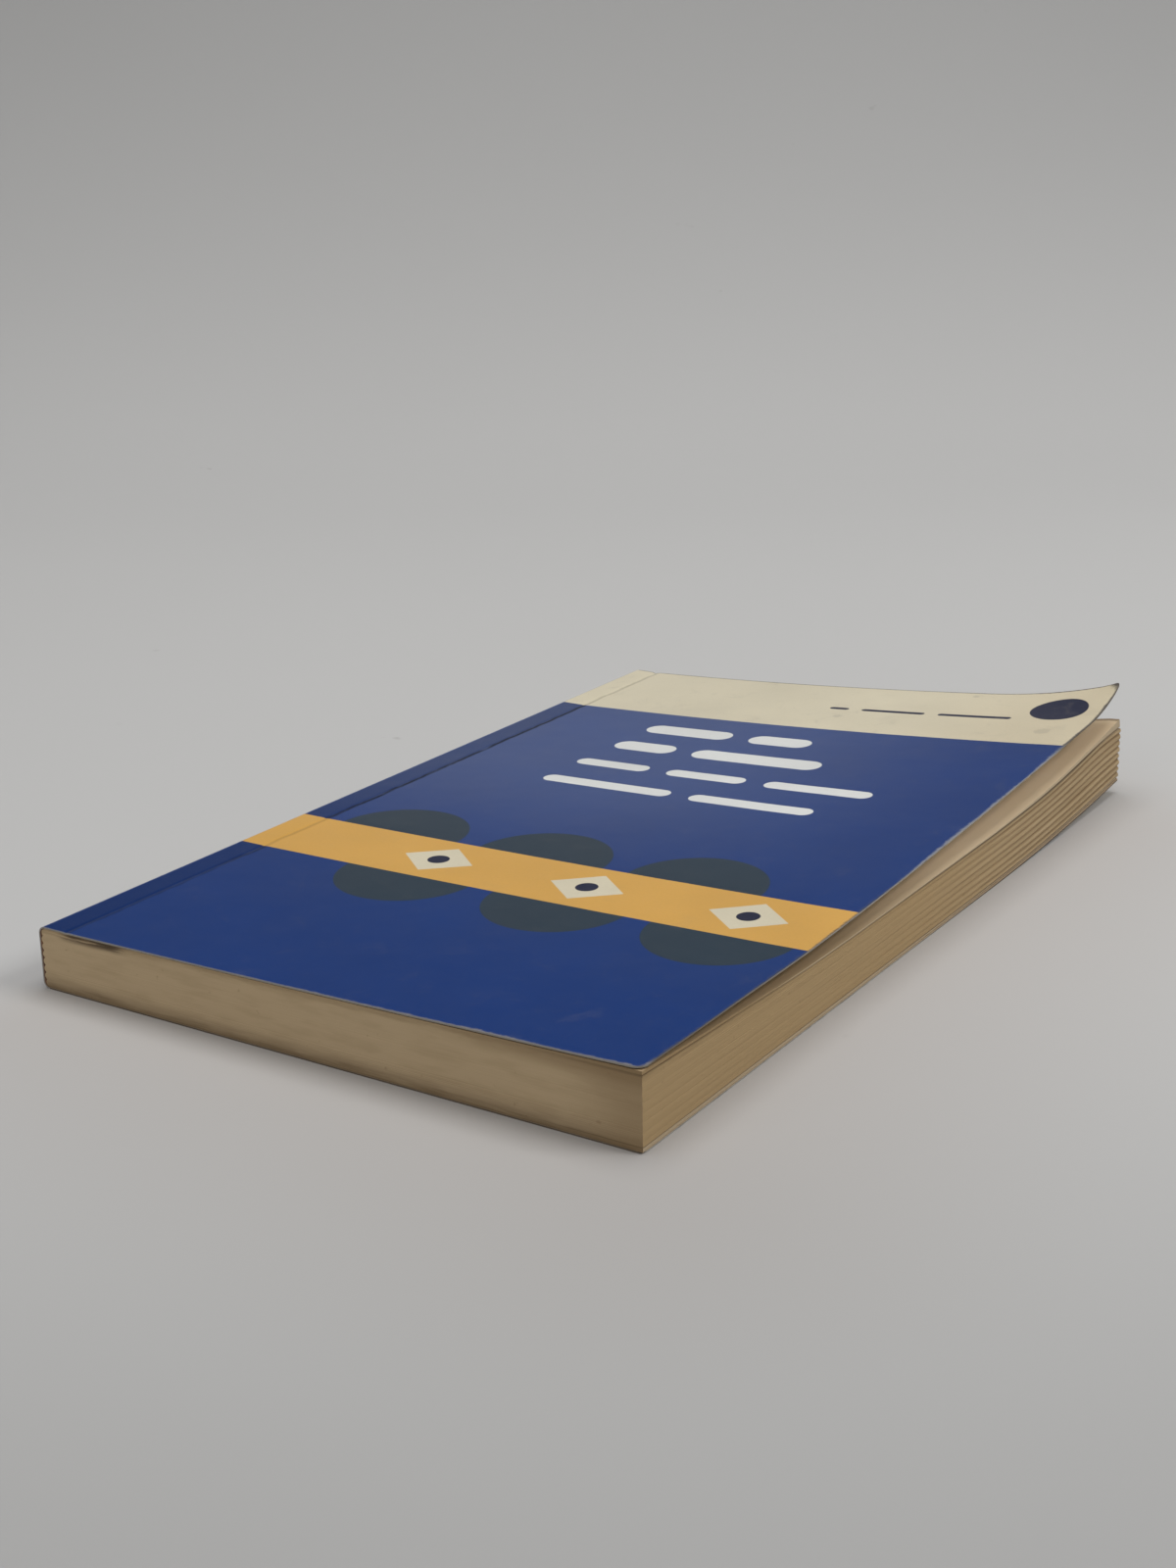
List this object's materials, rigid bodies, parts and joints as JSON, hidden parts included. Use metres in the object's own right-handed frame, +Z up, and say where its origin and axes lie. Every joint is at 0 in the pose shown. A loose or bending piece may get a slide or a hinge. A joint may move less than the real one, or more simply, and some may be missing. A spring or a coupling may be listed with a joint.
{
  "type": "paperback book",
  "caption": "Worn paperback book lying on its back cover, with a sprung front cover, ridged fore-edge and hinged covers.",
  "frame": {"origin": "middle of the closed book's footprint, on the surface that the back cover lies on", "axes": "+X from the spine to the fore-edge, +Y from the tail to the head, +Z up, out of the front cover"},
  "size_m": [0.135, 0.216, 0.0271],
  "materials": {
    "aged_paper": "uncoated, yellowed at the trimmed edges",
    "aged_glue": "dry brown spine glue",
    "printed_card": "satin varnished printed cover card, worn white along its edges"
  },
  "bodies": {
    "book_block": {"page_block": "aged_paper", "spine_glue": "aged_glue", "spine_cover": "printed_card"},
    "front_cover": {"front_cover": "printed_card"},
    "back_cover": {"back_cover": "printed_card"}
  },
  "joints": [
    {"name": "front_cover_hinge", "type": "hinge", "parent": "book_block", "child": "front_cover", "pos_m": [-0.06045, 0, 0.0127], "axis": [0, -1, 0], "range_deg": [0, 170]},
    {"name": "back_cover_hinge", "type": "hinge", "parent": "book_block", "child": "back_cover", "pos_m": [-0.06045, 0, 0], "axis": [0, 1, 0], "range_deg": [0, 170]}
  ]
}
